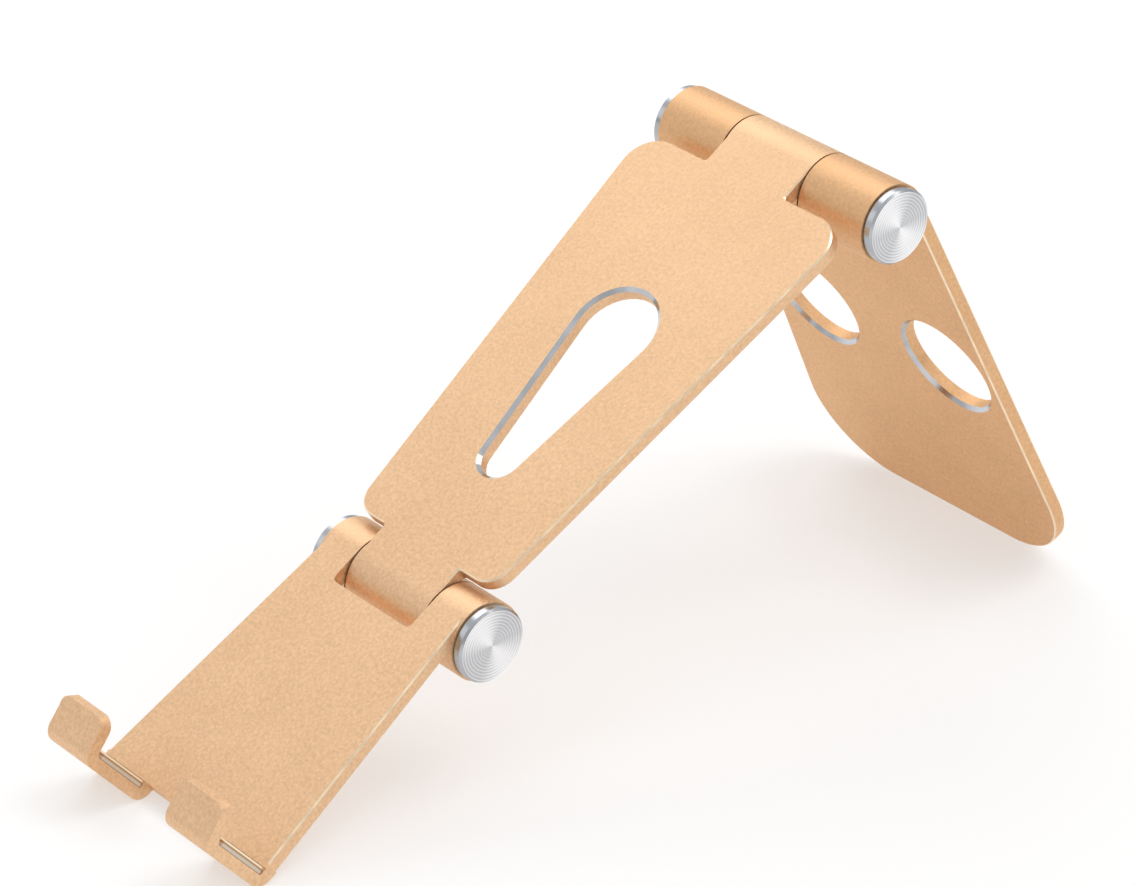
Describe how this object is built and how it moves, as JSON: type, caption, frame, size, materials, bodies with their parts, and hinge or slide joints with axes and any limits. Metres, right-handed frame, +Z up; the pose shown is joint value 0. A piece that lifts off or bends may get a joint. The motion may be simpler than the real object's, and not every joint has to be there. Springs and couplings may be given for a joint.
{
  "type": "folding phone stand",
  "caption": "Folding desk stand for a phone: hooked holder plate, slotted arm and wide leg joined by friction hinges with silver end caps.",
  "frame": {"origin": "bottom centre of the bounding box, on the surface that the stand stands on", "axes": "+X along the hinge axes to the user's right, +Y away from the user towards the leg, +Z up"},
  "size_m": [0.0708, 0.2104, 0.0981],
  "materials": {
    "anodised_gold": "bead-blasted and anodised champagne gold",
    "spun_aluminium": "spun bright, fine concentric rings",
    "steel": "plain zinc-plated",
    "nylon": "matt black",
    "silicone": "soft matt grey"
  },
  "bodies": {
    "arm": {"arm_plate": "anodised_gold"},
    "holder": {"holder_plate": "anodised_gold", "hook_pad_left": "silicone", "hook_pad_right": "silicone", "lower_disc_spring": "steel", "lower_end_cap_left": "spun_aluminium", "lower_end_cap_right": "spun_aluminium", "lower_friction_washer_left": "nylon", "lower_friction_washer_right": "nylon", "lower_hinge_bolt": "steel", "lower_hinge_nut": "steel", "lower_steel_washer_left": "steel", "lower_steel_washer_right": "steel"},
    "leg": {"leg_plate": "anodised_gold", "upper_disc_spring": "steel", "upper_end_cap_left": "spun_aluminium", "upper_end_cap_right": "spun_aluminium", "upper_friction_washer_left": "nylon", "upper_friction_washer_right": "nylon", "upper_hinge_bolt": "steel", "upper_hinge_nut": "steel", "upper_steel_washer_left": "steel", "upper_steel_washer_right": "steel"}
  },
  "joints": [
    {"name": "lower_hinge", "type": "hinge", "parent": "arm", "child": "holder", "pos_m": [0, -0.03863, 0.02881], "axis": [1, 0, 0], "range_deg": [-75, 155]},
    {"name": "upper_hinge", "type": "hinge", "parent": "arm", "child": "leg", "pos_m": [0, 0.05273, 0.09008], "axis": [-1, 0, 0], "range_deg": [-172, 82]}
  ]
}
